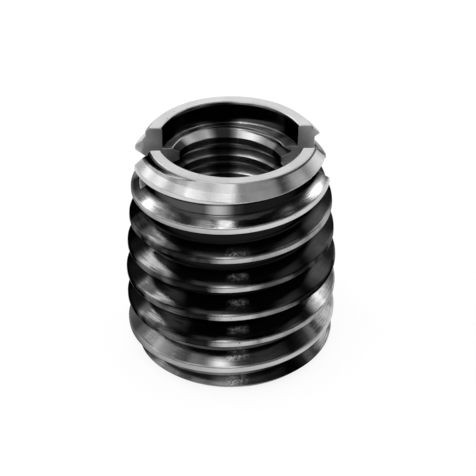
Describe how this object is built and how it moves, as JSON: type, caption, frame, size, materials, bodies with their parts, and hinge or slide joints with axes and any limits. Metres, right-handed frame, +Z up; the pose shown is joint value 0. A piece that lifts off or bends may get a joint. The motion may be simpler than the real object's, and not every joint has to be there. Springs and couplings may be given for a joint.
{
  "type": "threaded insert",
  "caption": "Slotted self-tapping metal bush with a threaded bore inside and a coarser tapered thread outside.",
  "frame": {"origin": "centre of the plain end face, which the insert stands on", "axes": "+Z up the threaded bore towards the slotted end; the driving slot runs near the X axis"},
  "size_m": [0.01, 0.01, 0.011],
  "materials": {
    "steel": "bright turned steel with a dark plated film"
  },
  "bodies": {
    "root": {"insert": "steel"}
  },
  "joints": []
}
